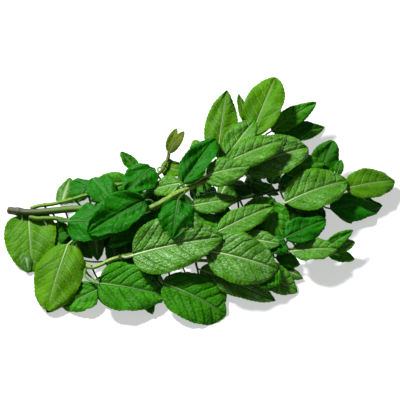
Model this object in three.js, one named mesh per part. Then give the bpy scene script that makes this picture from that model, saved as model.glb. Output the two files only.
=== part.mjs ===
// A sprig of fresh mint, cut and laid down: one branched stem and its leaves, heaped on each other.
// Millimetres and degrees, +Z up, +X from the cut end to the tips, origin under the middle.

import * as THREE from "three";

// Driving dimensions

const STEM_SIDES = 8; // a mint stem is square, with its corners rounded off
const STEM_STEP = 6; // length of one straight stretch of a bent stem
const CORNER_SWELL = 0.1; // how far the corners stand out, as a share of the half width
const NODE_SWELL = 0.18; // how much thicker the stem is where leaves leave it
const SWELL_REACH = 2.5; // how far along the stem that thickening fades away
const SHOULDER = 1; // how far a side shoot stands straight out before it bends
const STALK_THICKNESS = 1.4; // a leaf's stalk, square in section
const BLADE_THICKNESS = 0.7; // the blade with the veins that stand out below it
const BASE_ROUND = 0.5; // the lower, the blunter the base of a blade
const POINT_ROUND = 0.85; // the lower, the blunter its point
const TIP_WIDTH = 0.06; // width left at the point of a leaf, as a share of its full width
const STALK_SWEEP = 0.4; // how far a stalk runs straight at each end, as a share of its span
const FORK_GAP = 0.35; // between a stem and what it carries
const LAYER_GAP = 0.75; // between leaves that lie on each other
const FORK_CLEARANCE = 4.5; // around its own fork a stalk is left as it grew

// Stations along a leaf: the stalk from fork to blade, then the blade from base to point
const STALK_STATIONS = [0, 0.36, 0.7];
const BLADE_STATIONS = [0, 0.12, 0.3, 0.5, 0.7, 0.88, 1];
const ACROSS = [-1, -0.5, 0, 0.5, 1];
const MIDDLE = 2; // the point of a row that lies on the midrib

// The stems: full width at the lower and upper end, and a route through their nodes
const STEMS = {
  main: {
    node: "main_stem",
    width: [3.8, 1.8],
    route: [
      [-119, -5, 11], [-105, -8, 13], [-74, -8, 17], [-52, -13, 21], [-31, -14, 26], [-13, -5, 30],
      [3, 3, 32], [10, 12, 32], [20, 22, 29], [30, 36, 23], [43, 47, 16],
    ],
  },
  upper: {
    node: "upper_shoot",
    width: [2.3, 1.3],
    springs: ["main", 1],
    route: [
      [-101, -4.2, 14.3], [-95, -3.6, 14.7], [-87, -2, 15], [-68, 4, 16], [-55, 9, 16], [-41, 15, 16],
      [-26, 21, 14], [-21.5, 30, 13.5], [-20, 36.5, 14],
    ],
  },
  right: {
    node: "right_shoot",
    width: [2.6, 1.4],
    springs: ["main", 1],
    route: [
      [-101, -12, 12.3], [-96, -12.2, 12.5], [-92, -12, 13], [-81, -14, 13], [-56, -17, 12], [-31, -12, 12],
      [-8, -5, 15], [9, -2, 15], [25, 1, 15], [47, 7, 15], [68, 14, 13], [84, 14, 12],
    ],
  },
  lower: {
    node: "lower_shoot",
    width: [2.4, 1.3],
    springs: ["right", 3],
    route: [
      [-78, -20, 11], [-75, -26, 9], [-73, -36, 9], [-69, -44, 9], [-63, -46, 10], [-56, -43, 12],
      [-41, -40, 15], [-21, -42, 14], [2, -43, 13], [21, -43, 12], [38, -35, 10], [54, -33, 10],
      [77, -31, 9],
    ],
  },
};

// The heap, from the bottom to the top. A leaf is given by its name, the stem that carries it, how
// many nodes along it leaves that stem, the base of its blade, its heading and rise, its length and
// width, and its shape: how far it rolls over to one side, arches along and folds along its midrib.
// A name alone is the stem that lies there.
const HEAP = [
  ["right_leaf_1", "right", 3.2, [-80, -19, 8], [-176, -23], [21, 16], [-10, 20, 8]],
  ["main_leaf_1", "main", 0.5, [-106.2, -6.8, 8.5], [-83, -14], [38.5, 32], [0, 20, -6]],
  ["lower_leaf_1", "lower", 2.7, [-61, -60, 7], [-159, -18], [24, 19], [-10, 16, 8]],
  ["lower_leaf_6", "lower", 7.8, [0, -47, 9], [-20, -10], [49, 17], [10, 15, 8]],
  ["lower_leaf_8", "lower", 9, [34, -48, 9], [-21, -18], [28, 18], [5, 16, 10]],
  ["lower_leaf_9", "lower", 9.6, [46, -48, 9], [-132, -15], [16, 15], [-15, 20, 8]],
  ["lower_leaf_15", "lower", 11.7, [78, -35, 8], [-4, -15], [17, 9], [5, 15, 8]],
  ["lower_leaf_10", "lower", 10.4, [46, -38, 7], [-7, -18], [16, 11], [10, 15, 8]],
  ["upper_leaf_3", "upper", 4.9, [-45, 14, 13], [174, -14], [26, 15], [-15, 20, 8]],
  ["upper_leaf_4", "upper", 5.5, [-39, 21, 17], [140, 28], [16, 9], [-10, 10, 12]],
  ["upper_leaf_5", "upper", 6.2, [-25, 29, 10], [-12, -2], [15, 15], [5, 15, 8]],
  ["main_leaf_17", "main", 9.4, [57, 53, 9], [33, -18], [32, 11], [20, 10, 12]],
  ["main_leaf_9", "main", 6.5, [2, 31, 14], [108, -4], [19, 13], [0, 25, -6]],
  ["main_leaf_14", "main", 8.7, [31, 50, 21], [103, 12], [27, 9], [30, 10, 10]],
  ["right_leaf_10", "right", 10.2, [75, 19, 14], [68, 12], [27, 18], [0, 25, 6]],
  ["main_leaf_16", "main", 9.8, [48, 49, 13], [27, -3], [30, 13], [15, 12, 10]],
  ["main_leaf_15", "main", 9.9, [46, 52, 18], [36, 4], [37, 14], [10, 15, 10]],
  ["right_leaf_13", "right", 10.4, [81, -3, 10], [14, -16], [37, 20], [10, 20, 6]],
  ["right_leaf_14", "right", 10.8, [86, 18, 13], [72, 16], [10, 6], [10, 10, 10]],
  ["right_leaf_12", "right", 10.9, [91, 9, 14], [20, -12], [36, 21], [5, 20, 8]],
  ["lower_leaf_17", "lower", 11.9, [82, -32, 9], [14, 10], [13, 9], [10, 15, 10]],
  "upper",
  ["upper_leaf_7", "upper", 7.9, [-20.2, 36, 17], [72, 14], [17, 6.5], [0, 12, 12]],
  ["upper_leaf_8", "upper", 7.55, [-19.2, 34.5, 15], [57, 12], [17, 7], [10, 12, 10]],
  "lower",
  ["lower_leaf_16", "lower", 11.4, [75, -35, 13], [33, 8], [22, 7.5], [20, 12, 14]],
  ["lower_leaf_13", "lower", 10.7, [56, -37, 12], [2, -6], [27, 16], [5, 15, 8]],
  ["lower_leaf_11", "lower", 9.8, [40, -31, 13], [-24, -14], [15, 13], [10, 20, 8]],
  ["lower_leaf_2", "lower", 3.2, [-60, -58, 10], [-7, -8], [41, 31], [12, 22, 6]],
  ["right_leaf_3", "right", 4.2, [-79.5, -31, 12], [-105, -13], [44, 30], [0, 28, -5]],
  ["upper_leaf_1", "upper", 2.7, [-67, 15, 12], [-172, -29], [26, 17], [-10, 20, -10]],
  ["main_leaf_4", "main", 4.8, [-13, 5, 25], [-177, -18], [18, 15], [-5, 20, 6]],
  ["lower_leaf_4", "lower", 7, [-22, -58, 11], [-23, -17], [43, 31], [18, 32, -6]],
  ["lower_leaf_12", "lower", 9.2, [26, -30, 15], [-10, -8], [23, 14], [5, 15, 8]],
  ["right_leaf_7", "right", 8.6, [41, -5, 17], [-64, -15], [24, 18], [5, 20, 6]],
  ["lower_leaf_14", "lower", 11.2, [52, -31, 16], [32, -6], [30, 18], [10, 18, 10]],
  ["right_leaf_6", "right", 7.9, [26, -10, 14], [22, 3], [22, 11], [10, 15, 8]],
  "right",
  ["right_leaf_11", "right", 9.8, [74, 21, 18], [-161, -4], [27, 12], [-20, 15, 8]],
  ["right_leaf_8", "right", 8.9, [52, 18, 20], [15, -4], [28, 15], [15, 18, 8]],
  ["main_leaf_3", "main", 4.5, [-22, -17, 23], [-155, -11], [38, 18], [-15, 20, 8]],
  ["right_leaf_5", "right", 5.8, [-7, -13, 19], [-40, -5], [23, 19], [5, 25, 5]],
  ["right_leaf_4", "right", 6.3, [-4, -11, 24], [10, 2], [27, 16], [0, 15, 6]],
  ["right_leaf_9", "right", 9.3, [53, -5, 18], [25, -4], [43, 27], [0, 20, 5]],
  ["upper_leaf_6", "upper", 5.8, [-30, 18, 22], [-131, -6], [26, 21], [-10, 40, -12]],
  ["lower_leaf_7", "lower", 8.6, [11, -29, 23], [31, -3], [40, 17], [12, 15, 8]],
  ["lower_leaf_5", "lower", 7.6, [4, -41, 20], [-12, -10], [44, 33], [14, 22, 6]],
  "main",
  ["right_leaf_2", "right", 2.6, [-80, -18, 16], [-10, 3], [34, 27], [8, 25, -8]],
  ["upper_leaf_2", "upper", 3.3, [-67, 13, 19], [-58, 2], [28, 17], [5, 30, -8]],
  ["main_leaf_2", "main", 4.2, [-33, -11, 30], [-151, -10], [40, 24], [-10, 15, 18]],
  ["lower_leaf_3", "lower", 5.7, [-40, -43, 18], [9, 4], [55, 33], [16, 20, 12]],
  ["main_leaf_13", "main", 8.8, [33, 42, 26], [69.5, 9], [46, 24.5], [5, 20, 8]],
  ["main_leaf_8", "main", 7.3, [11, 21.5, 31], [82, 20], [44, 21], [5, 20, -5]],
  ["main_leaf_10", "main", 8, [26, 13, 28], [24, -1], [46, 27], [12, 22, 6]],
  ["main_leaf_11", "main", 7.7, [17, 19, 35], [55, 8], [31, 18], [5, 15, 10]],
  ["main_leaf_12", "main", 7.4, [17, 12, 38], [26, 1], [38, 20], [10, 15, 8]],
  ["main_leaf_7", "main", 5.6, [4, 3, 33], [9, -4], [27, 19], [12, 30, 6]],
  ["main_leaf_6", "main", 5, [-10, -1, 32], [58, 3], [37, 19], [10, 15, 25]],
  ["main_leaf_5", "main", 5.2, [-13, -14, 34], [-98, -19], [25, 22], [0, 30, -5]],
];

const radians = THREE.MathUtils.degToRad;
const UP = new THREE.Vector3(0, 0, 1);

// Stems

function swellAt(route, point) {
  const nearest = Math.min(...route.map((node) => node.distanceTo(point)));
  return 1 + NODE_SWELL * Math.exp(-((nearest / SWELL_REACH) ** 2));
}

// The point on a stem's surface from which something that lies towards target leaves it
function springPoint(stem, at, target) {
  const curve = stem.curve;
  const t = (at + stem.lead) / (curve.points.length - 1);
  const centre = curve.getPoint(t);
  const along = curve.getTangent(t);
  const outward = target.clone().sub(centre);
  outward.addScaledVector(along, -outward.dot(along));
  outward.normalize();
  const width = THREE.MathUtils.lerp(stem.width[0], stem.width[1], t);
  const reach = (width / 2) * (1 + CORNER_SWELL) * (1 + NODE_SWELL) + FORK_GAP;
  return { point: centre.addScaledVector(outward, reach), outward };
}

// Gives a stem its curve. A side shoot first leaves its carrier squarely, then follows its route.
function layStem(stem) {
  const points = stem.route.map((point) => new THREE.Vector3(...point));
  if (stem.springs) {
    const [carrier, at] = stem.springs;
    const { point, outward } = springPoint(STEMS[carrier], at, points[0]);
    points.unshift(point, point.clone().addScaledVector(outward, SHOULDER));
  }
  stem.lead = points.length - stem.route.length;
  stem.curve = new THREE.CatmullRomCurve3(points, false, "centripetal");
}

function stemGeometry(stem) {
  const nodes = stem.route.map((point) => new THREE.Vector3(...point));
  const steps = Math.round(stem.curve.getLength() / STEM_STEP);
  const geometry = new THREE.CylinderGeometry(1, 1, 1, STEM_SIDES, steps);
  const position = geometry.attributes.position;
  const section = new THREE.Vector3();
  for (let i = 0; i < position.count; i += 1) {
    section.fromBufferAttribute(position, i);
    const t = section.y + 0.5;
    const centre = stem.curve.getPointAt(t);
    const along = stem.curve.getTangentAt(t);
    const side = UP.clone().cross(along).normalize();
    const top = along.clone().cross(side);
    const corner = 1 - CORNER_SWELL * Math.cos(4 * Math.atan2(section.x, section.z));
    const width = THREE.MathUtils.lerp(stem.width[0], stem.width[1], t);
    const radius = (width / 2) * corner * swellAt(nodes, centre);
    centre.addScaledVector(top, section.x * radius);
    centre.addScaledVector(side, section.z * radius);
    position.setXYZ(i, centre.x, centre.y, centre.z);
  }
  return geometry;
}

// Leaves

// The width of a blade at a share u of its length, as a share of its full width
function outline(u) {
  const bulge = (at) => at ** BASE_ROUND * (1 - at) ** POINT_ROUND;
  const widest = bulge(BASE_ROUND / (BASE_ROUND + POINT_ROUND));
  return Math.max(bulge(u) / widest, TIP_WIDTH);
}

// A leaf's rows of points, from fork to tip and from right to left, with its thickness as arrows
function leafRows(leaf) {
  const base = new THREE.Vector3(...leaf.base);
  const heading = radians(leaf.heading);
  const ahead = new THREE.Vector3(Math.cos(heading), Math.sin(heading), 0);
  const left = UP.clone().cross(ahead);
  const { point: fork, outward } = springPoint(STEMS[leaf.stem], leaf.at, base);
  const pull = fork.distanceTo(base) * STALK_SWEEP;
  const startPitch = radians(leaf.rise + leaf.arch / 2);
  const into = ahead.clone().multiplyScalar(Math.cos(startPitch));
  into.z = Math.sin(startPitch);
  const stalk = new THREE.CubicBezierCurve3(
    fork,
    fork.clone().addScaledVector(outward, pull),
    base.clone().addScaledVector(into, -pull),
    base,
  );
  const rows = STALK_STATIONS.map((t) => {
    const centre = stalk.getPoint(t);
    const along = stalk.getTangent(t);
    const side = UP.clone().cross(along).normalize();
    const half = along.clone().cross(side).multiplyScalar(STALK_THICKNESS / 2);
    const points = ACROSS.map((v) => centre.clone().addScaledVector(side, (v * STALK_THICKNESS) / 2));
    return { points, half };
  });
  const centre = base.clone();
  BLADE_STATIONS.forEach((u, i) => {
    const before = BLADE_STATIONS[Math.max(i - 1, 0)];
    const pitch = radians(leaf.rise + leaf.arch / 2 - (leaf.arch * (u + before)) / 2);
    centre.addScaledVector(ahead, (u - before) * leaf.length * Math.cos(pitch));
    centre.z += (u - before) * leaf.length * Math.sin(pitch);
    const halfWidth = i === 0 ? STALK_THICKNESS / 2 : (leaf.width / 2) * outline(u);
    const points = ACROSS.map((v) => {
      const lean = radians(Math.sign(v) * leaf.roll + leaf.fold);
      const point = centre.clone().addScaledVector(left, v * halfWidth * Math.cos(lean));
      point.z += Math.abs(v) * halfWidth * Math.sin(lean);
      return point;
    });
    const thickness = i === 0 ? STALK_THICKNESS : BLADE_THICKNESS;
    rows.push({ points, half: UP.clone().multiplyScalar(thickness / 2) });
  });
  return rows;
}

function leafGeometry(rows) {
  const alongSteps = rows.length - 1;
  const acrossSteps = ACROSS.length - 1;
  const geometry = new THREE.BoxGeometry(alongSteps, acrossSteps, 2, alongSteps, acrossSteps, 1);
  const position = geometry.attributes.position;
  for (let i = 0; i < position.count; i += 1) {
    const row = rows[Math.round(position.getX(i) + alongSteps / 2)];
    const point = row.points[Math.round(position.getY(i) + acrossSteps / 2)].clone();
    point.addScaledVector(row.half, position.getZ(i));
    position.setXYZ(i, point.x, point.y, point.z);
  }
  return geometry;
}

// The heap: a map of how high it has grown, and of how low the stems above still reach

const CELL = 0.8; // width of one cell of the map
const REACH = [170, 120]; // how far the map runs to each side of the middle
const COLUMNS = Math.ceil((2 * REACH[0]) / CELL);
const ROWS = Math.ceil((2 * REACH[1]) / CELL);

// A grid of heights that keeps the one chosen of two, the higher or the lower
class HeightMap {
  constructor(level, choose) {
    this.cells = new Float64Array(COLUMNS * ROWS).fill(level);
    this.choose = choose;
  }

  cell(x, y) {
    return [Math.round((x + REACH[0]) / CELL), Math.round((y + REACH[1]) / CELL)];
  }

  at(x, y) {
    const [column, row] = this.cell(x, y);
    return this.cells[row * COLUMNS + column];
  }

  mark(x, y, z) {
    const [column, row] = this.cell(x, y);
    for (let r = row - 1; r <= row + 1; r += 1) {
      for (let c = column - 1; c <= column + 1; c += 1) {
        const cell = r * COLUMNS + c;
        this.cells[cell] = this.choose(this.cells[cell], z);
      }
    }
  }
}

// Marks the upper side of a stem on a map, or its under side where side is -1
function markStem(map, stem, side) {
  const length = stem.curve.getLength();
  for (let s = 0; s <= length; s += CELL / 2) {
    const t = s / length;
    const centre = stem.curve.getPointAt(t);
    const along = stem.curve.getTangentAt(t);
    const radius = (THREE.MathUtils.lerp(stem.width[0], stem.width[1], t) / 2) * (1 + NODE_SWELL);
    for (let a = -radius; a <= radius; a += radius / 3) {
      map.mark(centre.x - along.y * a, centre.y + along.x * a, centre.z + side * radius);
    }
  }
}

// Points spread over a leaf, each with its share of the four corners around it
function spread(rows) {
  const samples = [];
  for (let i = 0; i + 1 < rows.length; i += 1) {
    for (let j = 0; j + 1 < ACROSS.length; j += 1) {
      const a = rows[i].points[j];
      const b = rows[i + 1].points[j];
      const c = rows[i + 1].points[j + 1];
      const d = rows[i].points[j + 1];
      const longways = Math.ceil(Math.max(a.distanceTo(b), d.distanceTo(c)) / CELL) + 1;
      const crossways = Math.ceil(Math.max(a.distanceTo(d), b.distanceTo(c)) / CELL) + 1;
      for (let m = 0; m <= longways; m += 1) {
        for (let n = 0; n <= crossways; n += 1) {
          const s = m / longways;
          const t = n / crossways;
          const shares = [(1 - s) * (1 - t), s * (1 - t), s * t, (1 - s) * t];
          const corners = [a, b, c, d];
          const x = corners.reduce((sum, corner, k) => sum + corner.x * shares[k], 0);
          const y = corners.reduce((sum, corner, k) => sum + corner.y * shares[k], 0);
          const half = rows[i].half.length() * (1 - s) + rows[i + 1].half.length() * s;
          samples.push({ corners, shares, x, y, half });
        }
      }
    }
  }
  return samples;
}

function heightOf(sample) {
  return sample.corners.reduce((sum, corner, k) => sum + corner.z * sample.shares[k], 0);
}

const PASSES = 90; // how often a leaf is pushed clear and smoothed again
const STIFF_PASSES = 14; // the last passes only clear, and no longer smooth

// Bends a leaf up and down until it lies clear of what is below it and of the stems still to come
function settle(rows, floor, ceiling) {
  const grown = rows.map((row) => row.points.map((point) => point.z));
  const fork = rows[0].points[MIDDLE].clone();
  const fromFork = (sample) => Math.hypot(sample.x - fork.x, sample.y - fork.y);
  const samples = spread(rows).filter((sample) => fromFork(sample) > FORK_CLEARANCE);
  for (let pass = 0; pass < PASSES; pass += 1) {
    samples.forEach((sample) => {
      const height = heightOf(sample);
      const low = floor.at(sample.x, sample.y) + LAYER_GAP + sample.half;
      const high = ceiling.at(sample.x, sample.y) - LAYER_GAP - sample.half;
      const push = height < low ? low - height : Math.min(high - height, 0);
      if (push === 0) return;
      const square = sample.shares.reduce((sum, share) => sum + share * share, 0);
      sample.corners.forEach((corner, k) => {
        corner.z += (push * sample.shares[k]) / square;
      });
    });
    if (pass < PASSES - STIFF_PASSES) {
      const lifts = rows.map((row, i) => row.points.map((point, j) => point.z - grown[i][j]));
      rows.forEach((row, i) => {
        row.points.forEach((point, j) => {
          if (i === 0) {
            point.z = grown[i][j];
            return;
          }
          const around = [
            lifts[i - 1][j],
            lifts[Math.min(i + 1, rows.length - 1)][j],
            lifts[i][Math.max(j - 1, 0)],
            lifts[i][Math.min(j + 1, ACROSS.length - 1)],
          ];
          const mean = around.reduce((sum, value) => sum + value, 0) / around.length;
          point.z = grown[i][j] + (lifts[i][j] + mean) / 2;
        });
      });
    }
  }
  rows[0].points.forEach((point, j) => {
    point.z = grown[0][j];
  });
  spread(rows).forEach((sample) => floor.mark(sample.x, sample.y, heightOf(sample) + sample.half));
}

// The sprig

const STEM_GREEN = new THREE.MeshStandardMaterial({ color: 0x6f8f3a, roughness: 0.55, metalness: 0 });
const LEAF_GREEN = new THREE.MeshStandardMaterial({ color: 0x3f7d2f, roughness: 0.6, metalness: 0 });

function addMesh(name, geometry, material) {
  const mesh = new THREE.Mesh(geometry, material.clone());
  mesh.name = name;
  sprig.add(mesh);
}

const sprig = new THREE.Group();
Object.values(STEMS).forEach((stem) => {
  layStem(stem);
  addMesh(stem.node, stemGeometry(stem), STEM_GREEN);
});

const waiting = new Set(Object.keys(STEMS));
const floor = new HeightMap(-LAYER_GAP, Math.max);

function ceilingOf(stems) {
  const ceiling = new HeightMap(Infinity, Math.min);
  stems.forEach((name) => markStem(ceiling, STEMS[name], -1));
  return ceiling;
}

let ceiling = ceilingOf(waiting);
for (const entry of HEAP) {
  if (typeof entry === "string") {
    waiting.delete(entry);
    markStem(floor, STEMS[entry], 1);
    ceiling = ceilingOf(waiting);
  } else {
    const [name, stem, at, base, [heading, rise], [length, width], [roll, arch, fold]] = entry;
    const rows = leafRows({ stem, at, base, heading, rise, length, width, roll, arch, fold });
    settle(rows, floor, ceiling);
    addMesh(name, leafGeometry(rows), LEAF_GREEN);
  }
}

// The origin: on the ground, under the middle of the sprig
const box = new THREE.Box3().setFromObject(sprig);
const middle = box.getCenter(new THREE.Vector3());
sprig.position.set(-middle.x, -middle.y, -box.min.z);

export default sprig;
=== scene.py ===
# %% [markdown]
# # A sprig of mint, laid down
#
# The solids of this sprig are already built: four stems and fifty-six leaves, each a plain bent
# plate that lies where the leaf lies. This lesson dresses them. It reads each plate back as a
# few rows of points, lays a fine toothed and veined blade through those rows, rounds the stems
# off, grows a layer of small leaves underneath that the solids leave out, and gives everything
# the colours and the shine of fresh mint.

# %% Start from the solids
import math
from typing import NamedTuple

import bmesh
import bpy
import numpy as np
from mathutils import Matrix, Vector


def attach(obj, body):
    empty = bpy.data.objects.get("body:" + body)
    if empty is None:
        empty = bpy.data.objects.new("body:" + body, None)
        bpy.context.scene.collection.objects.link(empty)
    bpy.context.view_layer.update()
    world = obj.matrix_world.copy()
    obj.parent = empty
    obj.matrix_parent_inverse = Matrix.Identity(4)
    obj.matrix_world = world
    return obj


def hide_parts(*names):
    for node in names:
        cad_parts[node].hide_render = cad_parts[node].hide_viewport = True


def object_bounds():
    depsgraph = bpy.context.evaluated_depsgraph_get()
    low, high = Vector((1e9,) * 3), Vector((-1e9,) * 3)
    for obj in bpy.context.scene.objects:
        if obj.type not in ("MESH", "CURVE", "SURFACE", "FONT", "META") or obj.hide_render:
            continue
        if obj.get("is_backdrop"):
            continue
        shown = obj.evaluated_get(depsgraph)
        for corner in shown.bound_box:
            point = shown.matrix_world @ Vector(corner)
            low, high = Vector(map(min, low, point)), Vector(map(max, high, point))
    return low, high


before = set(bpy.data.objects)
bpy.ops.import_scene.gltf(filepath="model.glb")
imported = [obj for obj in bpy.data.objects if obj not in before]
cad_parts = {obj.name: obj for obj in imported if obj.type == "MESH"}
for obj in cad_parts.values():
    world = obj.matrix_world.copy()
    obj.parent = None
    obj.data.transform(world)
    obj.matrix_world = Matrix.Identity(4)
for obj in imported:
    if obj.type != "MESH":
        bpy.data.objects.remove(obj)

solid_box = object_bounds()
MM = 0.001
print("solids:", len(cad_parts), "box", [round(c / MM) for c in solid_box[1] - solid_box[0]], "mm")

# %% [markdown]
# ## The table, the light and the camera
#
# The sprig lies on a plain white table. The light is one soft lamp, high behind the sprig and to
# its left, so each leaf throws a shadow towards the viewer, with an even pale sky around it. The
# sky could be a picture of a studio, but a plain colour keeps the gaps between the leaves dark
# and the table clean.
#
# The last line picks the Standard view, which shows every colour as it was mixed. The view that
# Blender starts with holds back bright light, as film does, and would turn leaf green greyish.

# %% Table
TABLE_SIZE = 4.0


def put_in_scene(name, data):
    made = bpy.data.objects.new(name, data)
    bpy.context.collection.objects.link(made)
    return made


sheet = bmesh.new()
bmesh.ops.create_grid(sheet, x_segments=1, y_segments=1, size=TABLE_SIZE / 2)
table_mesh = bpy.data.meshes.new("table")
sheet.to_mesh(table_mesh)
sheet.free()
table = put_in_scene("table", table_mesh)
table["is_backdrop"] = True

# %% Light
LAMP_PLACE = Vector((-0.72, 0.6, 1.12))
LAMP_WIDTH = 0.22
LAMP_POWER = 47.0
SKY_COLOUR = (0.93, 0.97, 1.0, 1.0)
SKY_STRENGTH = 0.19

lamp_data = bpy.data.lights.new("studio_lamp", "AREA")
lamp_data.shape = "DISK"
lamp_data.size = LAMP_WIDTH
lamp_data.energy = LAMP_POWER
lamp = put_in_scene("studio_lamp", lamp_data)
lamp.location = LAMP_PLACE
lamp.rotation_euler = (-LAMP_PLACE).to_track_quat("-Z", "Y").to_euler()

sky = bpy.data.worlds.new("pale_sky")
sky.use_nodes = True
background = sky.node_tree.nodes["Background"]
background.inputs["Color"].default_value = SKY_COLOUR
background.inputs["Strength"].default_value = SKY_STRENGTH
bpy.context.scene.world = sky
print("lamp", round(LAMP_PLACE.length, 2), "m away")

# %% Camera
CAMERA_DISTANCE = 0.75
CAMERA_ELEVATION = math.radians(55)
LENS = 108.9  # which shows a width of 248 mm at that distance
AIM = Vector((-1.89, -2.81, 15.0)) * MM  # near the middle of the heap, at its lower leaves' height

camera = put_in_scene("camera", bpy.data.cameras.new("camera"))
back = Vector((0, -math.cos(CAMERA_ELEVATION), math.sin(CAMERA_ELEVATION)))
camera.location = AIM + back * CAMERA_DISTANCE
camera.rotation_euler = (-back).to_track_quat("-Z", "Y").to_euler()
camera.data.lens = LENS
bpy.context.scene.camera = camera
bpy.context.scene.view_settings.view_transform = "Standard"

# %% [markdown]
# ## Reading a leaf back from its solid
#
# A leaf's solid is a box of ten rings, bent: three rings for the stalk and seven for the blade,
# with ten points in each. The file keeps it as loose triangles, so a copy is merged first. Then
# the rings can be walked like the floors of a house: start with the ten points at one end, and
# every step to their neighbours is the next ring. Counting steps works however the leaf is bent,
# which sorting the points along one axis would not. The walk may have begun at either end, and
# seen from above the rings of a stalk are much narrower than a blade's, so the narrow end is first.

# %% Walk a solid ring by ring
MERGE = 0.01 * MM


def merged_copy(node):
    copy = bmesh.new()
    copy.from_mesh(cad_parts[node].data)
    bmesh.ops.remove_doubles(copy, verts=copy.verts[:], dist=MERGE)
    return copy


def walk(start):
    """The vertices in rings, each one step further from those in start."""
    rings = [list(start)]
    seen = set(start)
    while rings[-1]:
        beyond = {edge.other_vert(v) for v in rings[-1] for edge in v.link_edges} - seen
        seen |= beyond
        rings.append(list(beyond))
    return rings[:-1]


def points_of(ring):
    return np.array([v.co for v in ring])


# %% The rings of one leaf
RING = 10  # points round a leaf's solid
RINGS = 10  # along it
STALK_RINGS = 3
STATIONS = np.array([0, 0.12, 0.3, 0.5, 0.7, 0.88, 1.0])  # where the blade's rings are, base to point


def spread_of(rings):
    """How wide a few rings are together, seen from above."""
    return sum(np.ptp(points_of(ring)[:, :2], axis=0).max() for ring in rings)


def leaf_rings(node):
    """The ten rings of a leaf's solid, from the stem to the point of the leaf."""
    copy = merged_copy(node)
    middle = sum((v.co for v in copy.verts), Vector()) / len(copy.verts)
    one_end = max(copy.verts, key=lambda v: (v.co - middle).length)
    other_end = max(copy.verts, key=lambda v: (v.co - one_end.co).length)
    for end in (one_end, other_end):
        nearest = sorted(copy.verts, key=lambda v: (v.co - end.co).length)[:RING]
        rings = walk(nearest)
        if [len(ring) for ring in rings] == [RING] * RINGS:
            break
    else:
        raise ValueError(node + " can't be read ring by ring")
    if spread_of(rings[: STALK_RINGS + 1]) > spread_of(rings[-STALK_RINGS - 1 :]):
        rings.reverse()
    found = [points_of(ring) for ring in rings]
    copy.free()
    return found


# %% The rows of one leaf
def leaf_rows(node):
    """The middle of the stalk, and the blade's rows of five points from its right to its left edge."""
    rings = leaf_rings(node)
    stalk = np.array([ring.mean(0) for ring in rings[:STALK_RINGS]])
    ahead = rings[-1].mean(0) - rings[STALK_RINGS].mean(0)
    left = np.array([-ahead[1], ahead[0], 0]) / math.hypot(ahead[0], ahead[1])
    rows = []
    for ring in rings[STALK_RINGS:]:
        order = np.argsort(ring @ left)
        rows.append(ring[order].reshape(-1, 2, 3).mean(1))
    return stalk, np.array(rows)


leaf_nodes = [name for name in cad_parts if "_leaf_" in name]
leaves = {name: leaf_rows(name) for name in leaf_nodes}
lengths = [np.linalg.norm(np.diff(rows[:, 2], axis=0), axis=1).sum() for _, rows in leaves.values()]
print(len(leaves), "leaves,", round(min(lengths) / MM), "to", round(max(lengths) / MM), "mm long")

# %% [markdown]
# ## The shape of the blade
#
# A mint blade is broad and round near its stalk and drawn out to a point, with a row of small
# forward teeth on each edge. The seven rows of the solid say where the blade lies and how it
# bends; between them a smooth curve is drawn through each column of points. The width is not
# taken from those curves but from one formula, so that the edge is as round with seventy rows as
# it was with seven. Two numbers in it say how round the base and the point are, and give the few
# forms that these leaves have, from discs to spoons. The two halves are bent separately, because
# a leaf folds at its midrib.

# %% Curves through the rows
BASE_ROUND = 0.5
POINT_ROUND = 0.85
TIP_WIDTH = 0.03
PAST_EDGE = 1.2  # how far out a tooth may reach, as a share of the width
NEARBY = 0.01  # a short way along or across a blade, to find how it slopes there


def smooth_curve(stations, values, at):
    """Values at the given places, on a smooth curve through those at the stations."""
    shape = (-1,) + (1,) * (values.ndim - 1)
    chords = np.diff(values, axis=0) / np.diff(stations).reshape(shape)
    across = (values[2:] - values[:-2]) / (stations[2:] - stations[:-2]).reshape(shape)
    slopes = np.concatenate([chords[:1], across, chords[-1:]])
    k = np.clip(np.searchsorted(stations, at, side="right") - 1, 0, len(stations) - 2)
    step = stations[k + 1] - stations[k]
    t = (at - stations[k]) / step
    t, step = t.reshape(shape), step.reshape(shape)
    rise = (2 * t**3 - 3 * t**2 + 1) * values[k] + (3 * t**2 - 2 * t**3) * values[k + 1]
    return rise + step * ((t**3 - 2 * t**2 + t) * slopes[k] + (t**3 - t**2) * slopes[k + 1])


def outline(u, base_round=BASE_ROUND, point_round=POINT_ROUND):
    """The width of the blade at a share u of its length, as a share of its full width."""
    widest = base_round / (base_round + point_round)
    top = widest**base_round * (1 - widest) ** point_round
    u = np.clip(u, 0, 1)
    return np.maximum(u**base_round * (1 - u) ** point_round / top, TIP_WIDTH)


# %% The blade
def unit(vectors):
    return vectors / np.linalg.norm(vectors, axis=1)[:, None]


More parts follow.
